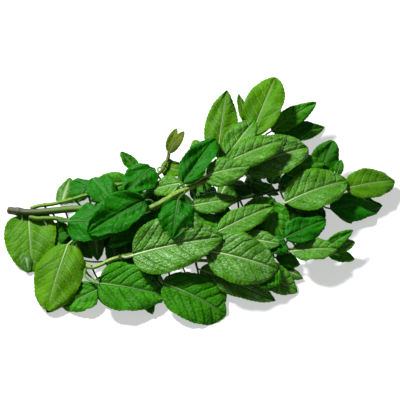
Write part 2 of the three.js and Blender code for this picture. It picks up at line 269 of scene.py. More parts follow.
class Blade:
    """A blade through a solid's rows: where each point of it lies, before teeth and veins."""

    def __init__(self, rows, form, lifts):
        self.form = form
        self.lifts = lifts
        self.midrib = rows[:, 2]
        self.length = np.linalg.norm(np.diff(self.midrib, axis=0), axis=1).sum()
        to_edges = np.linalg.norm(rows[1:-1, [0, 4]] - rows[1:-1, 2:3], axis=2).mean(1)
        self.half_width = np.median(to_edges / outline(STATIONS[1:-1]))
        arms = (rows[:, [0, 1, 3, 4]] - rows[:, 2:3]) / (self.half_width * outline(STATIONS))[:, None, None]
        arms[:, 1:3] *= 2  # the inner points are half as far out
        arms[0], arms[-1] = arms[1], arms[-2]
        self.arms = arms

    def width(self, u):
        """From the midrib to the edge."""
        return self.half_width * outline(u, *self.form)

    def place(self, u, across):
        """The point at u along the blade and across metres to the left of its midrib."""
        middle = smooth_curve(STATIONS, self.midrib, u)
        right_edge, right, left, left_edge = np.moveaxis(smooth_curve(STATIONS, self.arms, u), 1, 0)
        v = np.clip(np.abs(across) / self.width(u), 0, PAST_EDGE)[:, None]
        inner = np.where(across[:, None] < 0, right, left)
        outer = np.where(across[:, None] < 0, right_edge, left_edge)
        arm = inner + (outer - inner) * (2 * v - 1)
        lift = np.where(across < 0, *self.lifts)[:, None] * v * (0, 0, 1)
        return middle + np.abs(across)[:, None] * (arm + lift)

    def up(self, u, across):
        """The direction that the upper side faces."""
        after, before = np.clip(u + NEARBY, 0, 1), np.clip(u - NEARBY, 0, 1)
        along = self.place(after, across) - self.place(before, across)
        aside = NEARBY * self.half_width
        side = self.place(u, across + aside) - self.place(u, across - aside)
        return unit(np.cross(along, side))


# %% The forms of these leaves
FORMS = {  # how round the base and the point are: the smaller, the rounder
    "usual": (0.5, 0.75),
    "disc": (0.28, 0.5),
    "oval": (0.5, 0.62),
    "heart": (0.37, 0.7),
    "spoon": (0.46, 0.56),
}


def leaves_in(text):
    """The names of the leaves in a line such as "main 1 8, right 3"."""
    groups = [group.split() for group in text.split(", ")]
    return ["%s_leaf_%s" % (stem, number) for stem, *numbers in groups for number in numbers]


SHAPED = {
    "disc": "main 1",
    "oval": "main 2 10 12 13, right 9 12, lower 5",
    "heart": "main 5 7, upper 6, right 2, lower 2 3",
    "spoon": "right 3, lower 4",
}
form_of = {name: form for form, text in SHAPED.items() for name in leaves_in(text)}
MOST_LIFT = 0.2  # how steeply half a blade may bend up or down of itself
UNEVEN = (127.1, 311.7, 74.7)  # uneven numbers, so that neighbours come out unlike
SCATTERING = 43758.5453


def random_share(a, b, seed):
    """A number from 0 to 1 that looks random, and is the same each time for the same a and b."""
    mixed = np.sin(a * UNEVEN[0] + b * UNEVEN[1] + seed * UNEVEN[2]) * SCATTERING
    return mixed - np.floor(mixed)


def lifts_of(number):
    return [MOST_LIFT * (2 * random_share(number, side, 11.0) - 1) for side in (1.0, 2.0)]


blades = {
    name: Blade(rows, FORMS[form_of.get(name, "usual")], lifts_of(number))
    for number, (name, (_, rows)) in enumerate(leaves.items())
}
print("widest blade", round(2 * max(b.half_width for b in blades.values()) / MM), "mm")

# %% [markdown]
# ## Veins and quilting
#
# Side veins leave the midrib in pairs and curve forward to the edge. On top of the leaf they lie
# in grooves, and the blade swells up between them like a quilt, with smaller cells inside each
# swelling. All of that could be a bump in the material, but the swellings are what catches the
# lamp and casts small shadows, so they are made in the mesh. The same sums that shape a groove
# also mark it for the material, so colour and shape always agree: the material paints shade into
# the grooves and a sheen onto the swellings.

# %% Where the veins run
VEIN_ANGLE = 0.7  # how far a side vein runs forward for each step outwards
VEIN_BEND = 0.4  # and how much it bends forward on the way
VEIN_CROWD = 0.86  # under 1, the veins stand further apart near the point
VEIN_WOBBLE = 0.008  # how unevenly they stand, as a share of the blade's length
VEIN_SWAY = (17, 9, 4)  # how fast that changes from vein to vein, with the lag, and outwards
BLADE_SWAY = (5, 11)  # and how fast over the whole blade, outwards and along it
VEIN_PAIRS = (4, 7)  # fewest and most
VEIN_PAIRS_TO_START = 2.5  # a blade adds one to these
VEIN_PAIR_STEP = 12 * MM  # for each such stretch of its length


def ease(x, low, high):
    """0 below low, 1 above high, and smooth between."""
    t = np.clip((x - low) / (high - low), 0, 1)
    return t * t * (3 - 2 * t)


def vein_count(length):
    return int(np.clip(round(VEIN_PAIRS_TO_START + length / VEIN_PAIR_STEP), *VEIN_PAIRS))


def vein_phase(u, v, slender, count, lag):
    """Counts the side veins: a whole number lies on a vein, a half midway between two."""
    out = np.abs(v) * outline(u)
    foot = u - slender * (VEIN_ANGLE * out + VEIN_BEND * out**2)
    by_foot, by_lag, outwards = VEIN_SWAY
    along_vein = np.sin(foot * by_foot + by_lag * lag + outwards * v)
    over_blade = np.sin(v * BLADE_SWAY[0] + BLADE_SWAY[1] * u)
    foot = foot + VEIN_WOBBLE * along_vein + VEIN_WOBBLE * over_blade
    return count * np.sign(foot) * np.abs(foot) ** VEIN_CROWD + lag * (v < 0)


# %% Cells between the veins
FAR = 9.0  # further than any cell that is looked at
CELL_MARGIN = 0.15  # how near a cell's centre may come to the edge of its square
CELL_ROOM = 1 - 2 * CELL_MARGIN


def cell_walls(x, y, seed):
    """0 on the walls between random cells about one unit wide, growing towards their middles."""
    nearest = np.full(x.shape, FAR)
    second = np.full(x.shape, FAR)
    for i in (-1, 0, 1):
        for j in (-1, 0, 1):
            column, row = np.floor(x) + i, np.floor(y) + j
            dx = column + CELL_MARGIN + CELL_ROOM * random_share(column, row, seed) - x
            dy = row + CELL_MARGIN + CELL_ROOM * random_share(row, column, seed + 1) - y
            distance = np.hypot(dx, dy)
            second = np.minimum(second, np.maximum(distance, nearest))
            nearest = np.minimum(nearest, distance)
    return second - nearest


# %% [markdown]
# ## One leaf
#
# The blade starts as a flat grid. Extruding the whole grid makes it a closed slab with an upper
# side, a lower side and a rim, and the slab is then bent: every point is sent to its place on the
# blade, raised by its swelling, and pushed out by half the thickness. The stalk starts as a
# cylinder, cut across many times, and runs from inside the stem into the blade, where it goes on
# as the midrib and thins out towards the point.

# %% Slab and rod
def slab(along, across):
    """A closed flat slab: x and y from -1 to 1, z 0 below and 1 above."""
    made = bmesh.new()
    bmesh.ops.create_grid(made, x_segments=along, y_segments=across, size=1)
    lifted = bmesh.ops.extrude_face_region(made, geom=made.faces[:], use_keep_orig=True)["geom"]
    upper = [part for part in lifted if isinstance(part, bmesh.types.BMVert)]
    bmesh.ops.translate(made, vec=(0, 0, 1), verts=upper)
    bmesh.ops.recalc_face_normals(made, faces=made.faces[:])
    return made


def rod(sides, steps):
    """A closed rod along z from -0.5 to 0.5, cut across into steps."""
    made = bmesh.new()
    bmesh.ops.create_cone(made, cap_ends=True, segments=sides, radius1=1, radius2=1, depth=1)
    longways = [edge for edge in made.edges if abs(edge.verts[0].co.z - edge.verts[1].co.z) > 0.5]
    bmesh.ops.subdivide_edges(made, edges=longways, cuts=steps - 1, use_grid_fill=True)
    return made


# %% Points of a mesh, and what is marked on them
def get_places(mesh):
    spots = np.empty(len(mesh.vertices) * 3)
    mesh.vertices.foreach_get("co", spots)
    return spots.reshape(-1, 3)


def set_places(mesh, places):
    mesh.vertices.foreach_set("co", places.ravel())
    mesh.update()


def mark(mesh, name, values):
    """Keeps a number, or a colour, for each point of the mesh."""
    if values.ndim == 1:
        mesh.attributes.new(name, "FLOAT", "POINT").data.foreach_set("value", values)
    else:
        opaque = np.hstack([values, np.ones((len(values), 1))])
        mesh.attributes.new(name, "FLOAT_COLOR", "POINT").data.foreach_set("color", opaque.ravel())


def lay_map(mesh, flat):
    """A UV map from one flat place for each point."""
    corners = np.empty(len(mesh.loops), dtype=int)
    mesh.loops.foreach_get("vertex_index", corners)
    layer = mesh.uv_layers.new(name="leaf_map")
    layer.uv.foreach_set("vector", flat[corners].ravel())


test_slab, test_rod = slab(3, 2), rod(6, 4)
print("slab", len(test_slab.verts), "points; rod", len(test_rod.verts), "points")
test_slab.free()
test_rod.free()

# %% A route
ROUTE_FINENESS = 12  # points on the smooth line for each point that it goes through


class Route:
    """A smooth line through points, with a place and a direction at each share of its length."""

    def __init__(self, points):
        points = np.asarray(points)
        knots = np.concatenate([[0], np.cumsum(np.linalg.norm(np.diff(points, axis=0), axis=1))])
        at = np.linspace(0, knots[-1], ROUTE_FINENESS * len(points))
        self.points = smooth_curve(knots, points, at)
        steps = np.linalg.norm(np.diff(self.points, axis=0), axis=1)
        self.reach = np.concatenate([[0], np.cumsum(steps)])
        self.length = self.reach[-1]

    def place(self, share):
        return np.stack([np.interp(share * self.length, self.reach, c) for c in self.points.T], 1)

    def frame(self, share):
        """Unit vectors along the line, to its side and to its top."""
        small = 0.5 / len(self.points)
        after, before = np.clip(share + small, 0, 1), np.clip(share - small, 0, 1)
        along = unit(self.place(after) - self.place(before))
        side = unit(np.cross((0, 0, 1), along))
        return along, side, np.cross(along, side)

    def wrap(self, spots, radius):
        """Bends a rod's points round the line; spots are as rod() makes them."""
        share = spots[:, 2] + 0.5
        _, side, top = self.frame(share)
        return self.place(share) + (side * spots[:, :1] + top * spots[:, 1:2]) * radius[:, None]


# %% The route of a stalk
INTO_STEM = 1.5 * MM  # how far a stalk reaches inside its stem
MIDRIB_END = 0.93  # where it ends, as a share of the blade
MIDRIB_POINTS = 9


def stalk_route(stalk, blade):
    out_of_stem = stalk[0] - stalk[1]
    inside = stalk[0] + out_of_stem / np.linalg.norm(out_of_stem) * INTO_STEM
    rib = smooth_curve(STATIONS, blade.midrib, np.linspace(0, MIDRIB_END, MIDRIB_POINTS))
    return Route(np.vstack([inside, stalk, rib]))


# %% [markdown]
# ## The leaves of this sprig
#
# No two leaves have the same green. Young ones are yellow-green and nearly smooth, old ones deep
# green and strongly quilted, and on some the tops of the swellings carry a pale sheen, which is a
# painted highlight. A number drawn for each leaf could vary them, but neighbours of one age are
# alike, so each leaf gets one of a few named looks instead: colour, quilting, shine, painted sheen,
# painted shade in the vein grooves, pale veins, pale midrib and how much the blade heaves.

# %% Looks
def screen(red, green, blue):
    """A colour from the 0 to 255 that a screen uses to the linear shares that shading uses."""
    share = np.array([red, green, blue]) / 255
    return np.where(share <= 0.04045, share / 12.92, ((share + 0.055) / 1.055) ** 2.4)


class Look(NamedTuple):
    colour: np.ndarray
    quilting: float  # how high the swellings stand
    shine: float  # how glossy the skin is
    painted_sheen: float  # how much painted sheen, a painted highlight, covers the tops of the swellings
    painted_groove_shade: float  # how dark the painted shade in the side vein grooves is
    pale_veins: float  # how pale the line in the middle of each side vein is
    pale_rib: float  # how pale the midrib is
    waviness: float  # how much the whole blade heaves


LOOKS = {
    "lime": Look(screen(71, 125, 4), 0.45, 0.05, 0.1, 0.25, 0.35, 0.5, 0.5),
    "spring": Look(screen(63, 126, 6), 0.9, 0.12, 0.6, 0.35, 0.55, 0.75, 0.4),
    "painted_sheen": Look(screen(62, 126, 8), 1.0, 0.26, 0.9, 0.35, 0.8, 1.0, 0.4),
    "grass": Look(screen(49, 126, 5), 1.0, 0.07, 0.2, 0.9, 0.0, 0.3, 0.6),
    "deep": Look(screen(20, 104, 3), 0.75, 0.07, 0.03, 0.45, 0.12, 0.12, 1.0),
    "dark": Look(screen(30, 94, 3), 0.8, 0.05, 0.0, 0.5, 0.05, 0.12, 0.8),
    "tip": Look(screen(84, 104, 14), 0.4, 0.06, 0.0, 0.3, 0.1, 0.2, 0.3),
}
WEARS = {  # the leaves of each look
    "lime": "main 1 8 9 13 14, upper 5, right 3 12",
    "spring": "main 4 7 11 12, right 4 9, lower 7 8 13 17",
    "painted_sheen": "main 10, lower 3 5 6 12",
    "grass": "main 15 17, upper 3 4, right 5 6 7 8 14, lower 1 2 4 9 15 16",
    "deep": "main 2 3 5 6, upper 1 2 6, right 2 11 13, lower 11 14",
    "dark": "main 16, right 1 10, lower 10",
    "tip": "upper 7 8",
}
look_of = {name: look for look, text in WEARS.items() for name in leaves_in(text)}
print(len(look_of), "leaves in", len(WEARS), "looks, missing", set(leaf_nodes) - set(look_of))

# %% Teeth on the edge
TOOTH = 2.6 * MM  # from one tooth to the next
TOOTH_DEPTH = 0.4 * MM
TOOTH_RISE = 0.72  # the share of a tooth that is its long side
TOOTH_ROOT = 0.72  # the mesh is pulled out from here to the edge, as a share of the width
TEETH_START = (0.04, 0.14)  # they grow over this share of the blade's length
TEETH_END = (0.0, 0.05)  # and fade over this share before the point
FEWEST_TEETH = 5
SMALL_TEETH = 0.4  # their depth on the smallest leaf, as a share of that on a large one


def teeth(u, count, shift):
    """How far the edge stands out: slow up, quick down, so that the teeth point forward."""
    share = (u * count + shift) % 1.0
    saw = np.where(share < TOOTH_RISE, share / TOOTH_RISE, (1 - share) / (1 - TOOTH_RISE))
    return (saw - 0.5) * ease(u, *TEETH_START) * ease(1 - u, *TEETH_END)


def toothed(blade, u, v, size, lag):
    """How far each point lies from the midrib, with the teeth on the edge."""
    count = max(FEWEST_TEETH, round(blade.length / TOOTH))
    bite = teeth(u, count, lag * np.sign(v)) * TOOTH_DEPTH * (SMALL_TEETH + (1 - SMALL_TEETH) * size)
    return v * blade.width(u) + np.sign(v) * bite * ease(np.abs(v), TOOTH_ROOT, 1.0)


# %% What lies where on a blade
RIM = 0.84  # where the rim begins, as a share of the width
VEIN_CORE = 0.1 * MM
VEIN_WIDTH = 0.65 * MM
VEIN_START = (0.4 * MM, 1.2 * MM)  # a side vein sets in over this distance from the midrib
SHOULDER = 1.2 * MM  # how far from a vein the steep side of a swelling reaches
STEEPNESS = 0.65  # how much of its height is steep side, and not round back
SWELL_START = 0.2 * MM  # it sets in this far from the midrib
SWELL_REACH = 2.0 * MM  # and is full after this distance on a large leaf
SWELL_MORE = 0.3 * MM  # and a little more on a leaf of any size
CELL = 1.9 * MM
CELLS_PER_VEIN = 2.6
CELL_SHIFT = 0.13  # from leaf to leaf, so that no two are alike
CELL_SLOPE = 0.45
CELL_START = (0.3 * MM, 1.6 * MM)
CELL_LINE = 0.3
CELLS_LOST = 0.7  # how much of their strength the cells lose on the rim
VEINS_LOST = 0.8  # and the veins
RIB_WIDTH = 0.5 * MM
SMALL_RIB = 0.5  # its width on the smallest leaf, as a share of that on a large one
RIB_THINNING = 0.6  # how much of its strength the midrib loses on the way to the point
RIB_END = (0.02, 0.3)  # it fades over this share of the length, before the point


class Pattern:
    """The rim, the midrib, the veins, the swellings and their cells: 0 away from them, up to 1."""

    def __init__(self, blade, u, v, size, lag, seed):
        count = vein_count(blade.length)
        phase = vein_phase(u, v, blade.half_width / blade.length, count, lag)
        off_vein = np.abs(phase - np.round(phase))
        from_vein = off_vein * (blade.length / count)
        out = np.abs(v) * blade.width(u)
        self.rim = ease(np.abs(v), RIM, 1.0)
        back = 1 - (1 - 2 * off_vein) ** 2
        dome = STEEPNESS * ease(from_vein, 0.0, SHOULDER) + (1 - STEEPNESS) * back
        full = ease(out, SWELL_START, SWELL_REACH * size + SWELL_MORE)
        self.swelling = dome * (1 - self.rim) * full
        walls = cell_walls(phase * CELLS_PER_VEIN, out / CELL + CELL_SHIFT * seed, seed)
        self.cells = ease(walls, 0.0, CELL_SLOPE) * (1 - self.rim * CELLS_LOST) * ease(out, *CELL_START)
        self.cell_lines = 1 - ease(walls, 0.0, CELL_LINE)
        rib_width = RIB_WIDTH * (SMALL_RIB + (1 - SMALL_RIB) * size)
        self.rib = np.exp(-((out / rib_width) ** 2)) * (1 - RIB_THINNING * u)
        line = 1 - ease(from_vein, VEIN_CORE, VEIN_WIDTH)
        self.veins = line * ease(out, *VEIN_START) * (1 - self.rim * VEINS_LOST)


# %% How the blade heaves
SWELL = 0.6 * MM  # height of the quilting on a large, strongly quilted leaf
CELL_SWELL = 0.24 * MM
RIB_GROOVE = 0.3 * MM
RUFFLE = 0.6 * MM
RUFFLES = (15, 33)  # how fast the long and the short ones follow each other along the edge
RUFFLE_SHIFT = 2.1  # how far they differ from one edge to the other
RUFFLE_RIM = 4  # the higher, the nearer to the edge they stay
CURL = 0.9 * MM  # how far the edge turns down
CURL_START = (0.0, 0.25)  # the curl and the ruffles set in over this share of the length
WAVE = 1.9 * MM
WAVES = (9, 3)  # how fast they follow each other along the blade and across it
CROSS_WAVE = 2.6  # and how fast they rise and sink across it
WAVE_SHIFT = 1.7  # how far they differ from leaf to leaf
WAVE_START = (0.1, 0.5)  # the waves set in over this share of the width


def quilted(pattern, size, look):
    swellings = look.quilting * size * (SWELL * pattern.swelling + CELL_SWELL * pattern.cells)
    return swellings - RIB_GROOVE * size * pattern.rib


def ruffled(u, v, size, seed):
    """The edge turns down, and goes up and down in short and long ruffles."""
    long_ones = np.sin(u * RUFFLES[0] + seed + RUFFLE_SHIFT * np.sign(v))
    ruffles = long_ones + 0.5 * np.sin(u * RUFFLES[1] + 2 * seed)
    return (RUFFLE * ruffles - CURL) * size * np.abs(v) ** RUFFLE_RIM * ease(u, *CURL_START)


def waved(u, v, size, look, seed):
    """The whole blade rolls in slow waves, from the midrib outwards."""
    waves = np.sin(u * WAVES[0] + WAVES[1] * v + WAVE_SHIFT * seed) * np.sin(v * CROSS_WAVE + seed)
    return look.waviness * WAVE * size * waves * ease(np.abs(v), *WAVE_START)


# %% Bend a slab into a blade
THICKNESS = 0.36 * MM
RIM_THINNING = 0.45
CLEAR = 0.08 * MM  # how near the table a leaf comes
LARGE = 11 * MM  # half the width of a leaf that has its full relief
ROW_CROWD = 1.4  # over 1, the rows of the mesh stand closer near the stalk
MOST_LAG = 0.4  # how far the veins of one half may lag behind the other's
MAP_SIZE = 80 * MM  # the width of leaf that fills the whole UV map
MAP_START = [0.05, 0.5]


def shape_blade(mesh, blade, look, seed):
    """Bends a slab into the blade, and marks its veins, its edge and its upper side."""
    spots = get_places(mesh)
    u = ((spots[:, 0] + 1) / 2) ** ROW_CROWD
    v, upper = spots[:, 1], spots[:, 2]
    size = min(1.0, blade.half_width / LARGE)
    lag = MOST_LAG * random_share(seed, 1.0, 3.0)
    across = toothed(blade, u, v, size, lag)
    pattern = Pattern(blade, u, v, size, lag, seed)
    height = quilted(pattern, size, look) + ruffled(u, v, size, seed) + waved(u, v, size, look, seed)
    thin = THICKNESS * (1 - RIM_THINNING * pattern.rim)
    up = blade.up(u, v * blade.width(u))
    places = blade.place(u, across) + up * (height + (upper - 0.5) * thin)[:, None]
    places[:, 2] = np.maximum(places[:, 2], CLEAR + upper * thin)
    set_places(mesh, places)
    mark(mesh, "vein", pattern.veins)
    mark(mesh, "cell", pattern.cell_lines)
    mark(mesh, "rib", pattern.rib * ease(1 - u, *RIB_END))
    mark(mesh, "edge", pattern.rim)
    mark(mesh, "upper", upper)
    mark(mesh, "swell", pattern.swelling)
    lay_map(mesh, np.stack([u * blade.length, across], 1) / MAP_SIZE + MAP_START)


# %% Bend a rod into a stalk
STALK_RADIUS = 0.75 * MM
STALK_SIZES = (0.8, 1.1)  # thinnest and thickest, as shares of that
STALK_FULL = 13 * MM  # half the width of a leaf with a stalk of just that radius
STALK_WAY, RIB_WAY = 0.6, 0.45  # a place on the stalk and one on the midrib, as shares of each
STALK_THINNING = [1.15, 0.95, 0.9, 0.52, 0.16]  # at the stem, there, at the blade, there, at the end
PALE_WAY = 0.7
STALK_PALENESS = [0.4, 0.6, 1.0, 0.7]  # at the stem, there, at the blade and at the end
STALK_MAP = (0.5, 0.05)  # the middle of its stretch of the UV map, and half its width


def shape_stalk(mesh, stalk, blade):
    spots = get_places(mesh)
    route = stalk_route(stalk, blade)
    share = spots[:, 2] + 0.5
    free = 1 - blade.length * MIDRIB_END / route.length  # the share that is stalk
    size = np.clip(blade.half_width / STALK_FULL, *STALK_SIZES)
    stations = [0, free * STALK_WAY, free, free + (1 - free) * RIB_WAY, 1]
    thinning = np.interp(share, stations, STALK_THINNING)
    set_places(mesh, route.wrap(spots, STALK_RADIUS * size * thinning))
    for name in ("vein", "cell", "edge", "swell"):
        mark(mesh, name, np.zeros(len(spots)))
    mark(mesh, "upper", (spots[:, 1] > 0).astype(float))
    mark(mesh, "rib", np.interp(share, [0, free * PALE_WAY, free, 1], STALK_PALENESS))
    lay_map(mesh, np.stack([share, STALK_MAP[0] + STALK_MAP[1] * spots[:, 0]], 1))


# %% Grow a leaf
FINENESS = 0.5 * MM  # of the mesh
FEWEST_ROWS = 14
MORE_ROWS = 1.3  # because they crowd near the stalk, and thin out near the point
FEWEST_COLUMNS = 5  # on each half
STALK_SIDES = 8
STALK_STEPS = 36
WARMER = np.array([1.25, 1.02, 0.8])  # how red, green and blue differ on a warmer leaf
WARM_SHARE = 0.25  # how much of that a leaf may have, or the opposite of it


def joined(name, meshes):
    """One object from several meshes, which keep what is marked on them."""
    parts = [put_in_scene(name, mesh) for mesh in meshes]
    with bpy.context.temp_override(active_object=parts[0], selected_editable_objects=parts):
        bpy.ops.object.join()
    return parts[0]


def to_mesh(name, made):
    mesh = bpy.data.meshes.new(name)
    made.to_mesh(mesh)
    made.free()
    for polygon in mesh.polygons:
        polygon.use_smooth = True
    return mesh


def grow(name, stalk, blade, look, seed, painted_shade_factor=1.0, fineness=FINENESS):
    along = max(FEWEST_ROWS, round(MORE_ROWS * blade.length / fineness))
    across = 2 * max(FEWEST_COLUMNS, round(blade.half_width / fineness))
    blade_mesh = to_mesh(name, slab(along, across))
    shape_blade(blade_mesh, blade, look, seed)
    stalk_mesh = to_mesh(name + "_stalk", rod(STALK_SIDES, STALK_STEPS))
    shape_stalk(stalk_mesh, stalk, blade)
    piece = joined(name, [blade_mesh, stalk_mesh])
    warm = WARMER ** (2 * random_share(seed, 2.0, 5.0) - 1)
    # on a low leaf the green is darkened here, as painted shade
    tint = look.colour * painted_shade_factor * warm**WARM_SHARE
    mark(piece.data, "tint", np.tile(tint, (len(piece.data.vertices), 1)))
    return piece


# %% Grow the leaves that show
pieces = {}
for number, name in enumerate(leaf_nodes):
    stalk = leaves[name][0]
    pieces[name] = grow(name + "_leaf", stalk, blades[name], LOOKS[look_of[name]], float(number))
print(sum(len(p.data.polygons) * 2 for p in pieces.values()), "triangles in the leaves")

# %% [markdown]
# ## The stems
#
# A mint stem is square with rounded corners and a shallow groove in each face, and it is a little
# swollen at each node, where a ring marks the place that leaves grew from. The solids are
# eight-sided, so a finer rod is bent along the same line. The line is read from the rings of the
# solid, starting at the point in the middle of an end, which is the only one with eight
# neighbours.

# %% Stem lines
SOLID_SIDES = 8
STEM_SIDES = 24
STEM_STEP = 1.2 * MM
CORNER = 0.09
GROOVE = 0.04
NODE_SWELL = 0.2
NODE_REACH = 1.7 * MM
NODE_RING = 0.5 * MM  # the width of the darker ring
END_ROUND = 0.12  # how much thinner the very ends are
END_REACH = 0.5 * MM
AT_THE_END = 0.001 * MM

stem_nodes = [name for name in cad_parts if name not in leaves]


def stem_line(node):
    """The middle of each ring of a stem's solid, and its radius, from the lower end up."""
    copy = merged_copy(node)
    centres = [v for v in copy.verts if len(v.link_edges) == SOLID_SIDES]
    rings = [points_of(ring) for ring in walk([centres[0]])]
    copy.free()
    middles = np.array([ring.mean(0) for ring in rings[1:-1]])
    radii = np.array([np.linalg.norm(ring - m, axis=1).mean() for ring, m in zip(rings[1:-1], middles)])
    if radii[0] < radii[-1]:
        return middles[::-1], radii[::-1]
    return middles, radii


lines = {node: stem_line(node) for node in stem_nodes}
print({node: (len(line), round(2 * radii[0] / MM, 1)) for node, (line, radii) in lines.items()})

# %% The colours along a stem
STEM_TINTS = {  # share of the length: colour
    "main_stem": {
        0.0: (50, 48, 14), 0.07: (44, 58, 6), 0.2: (66, 104, 12), 0.5: (96, 136, 30),
        0.62: (124, 160, 48), 0.68: (110, 80, 24), 0.75: (116, 86, 24), 0.8: (84, 124, 20),
        1.0: (70, 118, 14),
    },
    "upper_shoot": {0.0: (92, 128, 22), 0.3: (94, 142, 24), 0.7: (86, 118, 26), 1.0: (90, 90, 34)},
    "right_shoot": {0.0: (80, 124, 14), 0.3: (50, 88, 8), 1.0: (36, 72, 6)},
    "lower_shoot": {
        0.0: (80, 124, 26), 0.15: (128, 160, 66), 0.4: (132, 170, 56), 0.55: (84, 138, 24),
        1.0: (56, 112, 12),
    },
}


def stem_tint(node, share):
    stops = STEM_TINTS[node]
    colours = np.array([screen(*colour) for colour in stops.values()])
    return np.stack([np.interp(share, list(stops), channel) for channel in colours.T], 1)


# %% Where leaves leave a stem
forks = {name: stalk[0] for name, (stalk, _) in leaves.items()}


def away_from_nodes(node, route, share):
    """How far each place along a stem is from the nearest place that a leaf grew from."""
    branch = node.split("_")[0]
    places = [place for name, place in forks.items() if name.startswith(branch)]
    nearest = [np.linalg.norm(route.points - place, axis=1).argmin() for place in places]
    at = route.reach[nearest] / route.length
    return np.min(np.abs(share[:, None] - at[None]), axis=1) * route.length


# %% Grow the stems
def grow_stem(node):
    middles, radii = lines[node]
    route = Route(middles)
    mesh = to_mesh(node, rod(STEM_SIDES, round(route.length / STEM_STEP)))
    spots = get_places(mesh)
    share = spots[:, 2] + 0.5
    angle = np.arctan2(spots[:, 1], spots[:, 0])
    away = away_from_nodes(node, route, share)
    from_end = np.minimum(share, 1 - share) * route.length
    width = np.interp(share, [0, 1], [radii[0], radii[-1]])
    section = 1 + CORNER * np.cos(4 * angle + math.pi) - GROOVE * np.cos(8 * angle)
    swollen = 1 + NODE_SWELL * np.exp(-((away / NODE_REACH) ** 2))
    rounded = 1 - END_ROUND * (1 - ease(from_end, 0, END_REACH))
    set_places(mesh, route.wrap(spots, width * section * swollen * rounded))
    mark(mesh, "tint", stem_tint(node, share))
    mark(mesh, "node", np.exp(-((away / NODE_RING) ** 2)))
    mark(mesh, "cut", (from_end < AT_THE_END).astype(float))
    lay_map(mesh, np.stack([share, (angle / math.tau) % 1.0], 1))
    return put_in_scene(node + "_stem", mesh)


for node in stem_nodes:
    pieces[node] = grow_stem(node)
print("stems:", {node: len(pieces[node].data.polygons) for node in stem_nodes})

# %% [markdown]
# ## The leaves underneath
#
# Under the leaves that show lies a layer that hardly does: smaller leaves of the same shoots,
# pressed towards the table, which fill the gaps with green that is darkened as painted shade.
# They are grown here, not as solids, with a coarser mesh, because they are seen only in glimpses.
#
# Each could have a place of its own, as the leaves on top have. Nobody looks at these one by one,
# so they grow by the plant's own rule instead: opposite pairs at even steps along every stem, on
# stalks that are short and long by turns, and smaller towards the tip. A leaf is kept only where
# the heap lies near all of it, so that none sticks out.

# %% Low leaves
PAIR_STEP = 9 * MM  # along a stem, from one pair to the next
LOW_STALKS = (5 * MM, 14 * MM)  # by turns
LOW_LENGTH = 25 * MM
LOW_SHRINK = 0.35  # how much shorter the last leaf of a stem is than its first
LOW_SLIMNESS = 0.26  # half its width, as a share of its length
LOW_TURN = math.radians(62)  # away from the stem's own direction
LOW_SCATTER = math.radians(40)
LOW_SINK = (0.4, 0.18)  # how high the foot and the point lie, as shares of the stem's height
LOWEST = 2 * MM
NEAR_HEAP = 7 * MM
LOW_FINENESS = 1.2 * MM
LOW_ARCH = 0.06
LOW_DROOP = 0.25
# painted shade: the low leaves' green is darkened to this share, for their place under the heap
LOW_PAINTED_SHADE = 0.7
LOW_LOOKS = ("deep", "grass", "dark", "grass", "spring")
STALK_SAG = 1 * MM


def laid_rows(foot, point, half_width):
    """Rows of five points, as a solid would give them, for a blade that lies nearly flat."""
    ahead = point - foot
    left = np.cross((0, 0, 1), ahead)
    left /= np.linalg.norm(left)
    middles = foot + ahead * STATIONS[:, None]
    middles[:, 2] += LOW_ARCH * np.linalg.norm(ahead) * np.sin(math.pi * STATIONS)
    out = np.linspace(-1, 1, 5)
    arms = left * out[:, None] - (0, 0, LOW_DROOP) * np.abs(out)[:, None] ** 2
    return middles[:, None] + arms[None] * (half_width * outline(STATIONS))[:, None, None]


def ahead_of(start, heading, length, height):
    """The place that lies this far from start, and this high above the table."""
    flat = start[:2] + length * np.array([math.cos(heading), math.sin(heading)])
    return np.array([flat[0], flat[1], max(LOWEST, height)])


def low_leaf(route, share, side, stalk_length, seed):
    """The stalk and the rows of one leaf of a pair."""
    root = route.place(np.array([share]))[0]
    along = route.frame(np.array([share]))[0][0]
    scatter = LOW_SCATTER * (random_share(seed, side, 7.0) - 0.5)
    heading = math.atan2(along[1], along[0]) + side * LOW_TURN + scatter
    length = LOW_LENGTH * (1 - LOW_SHRINK * share)
    foot = ahead_of(root, heading, stalk_length, LOW_SINK[0] * root[2])
    point = ahead_of(foot, heading - 0.5 * scatter, length, LOW_SINK[1] * root[2])
    stalk = np.array([root, (root + foot) / 2 - (0, 0, STALK_SAG), foot])
    return stalk, laid_rows(foot, point, LOW_SLIMNESS * length)


# %% Grow the low leaves
heap = np.vstack([rows.reshape(-1, 3)[:, :2] for _, rows in leaves.values()])


def lies_under_heap(rows):
    apart = np.linalg.norm(rows.reshape(-1, 3)[:, None, :2] - heap[None], axis=2)
    return apart.min(axis=1).max() < NEAR_HEAP


grown, count = 0, 0
for node in stem_nodes:
    route = Route(lines[node][0])
    steps = round(route.length / PAIR_STEP)
    for step in range(1, steps):
        for side in (-1, 1):
            grown += 1
            stalk, rows = low_leaf(route, step / steps, side, LOW_STALKS[step % 2], float(grown))
            if not lies_under_heap(rows):
                continue
            count += 1
            name = "low_leaf_%d" % count
            look_of[name] = LOW_LOOKS[grown % len(LOW_LOOKS)]
            blade = Blade(rows, FORMS["usual"], (0.0, 0.0))
            seed = float(len(leaves) + count)
            pieces[name] = grow(name, stalk, blade, LOOKS[look_of[name]], seed, LOW_PAINTED_SHADE, LOW_FINENESS)
triangles = sum(len(piece.data.polygons) * 2 for piece in pieces.values())
print(count, "low leaves kept of", grown, "and", triangles, "triangles in all")

# %% [markdown]
# ## Writing shading as sums
#
# A material is a net of nodes, and most of them only add, multiply or mix. Placing each by hand
# is slow to read, so one small class wraps a socket: a sum written in Python adds the nodes for
# it. Every other node comes from its one method, which takes the node's type, its settings and
# what goes into its sockets.

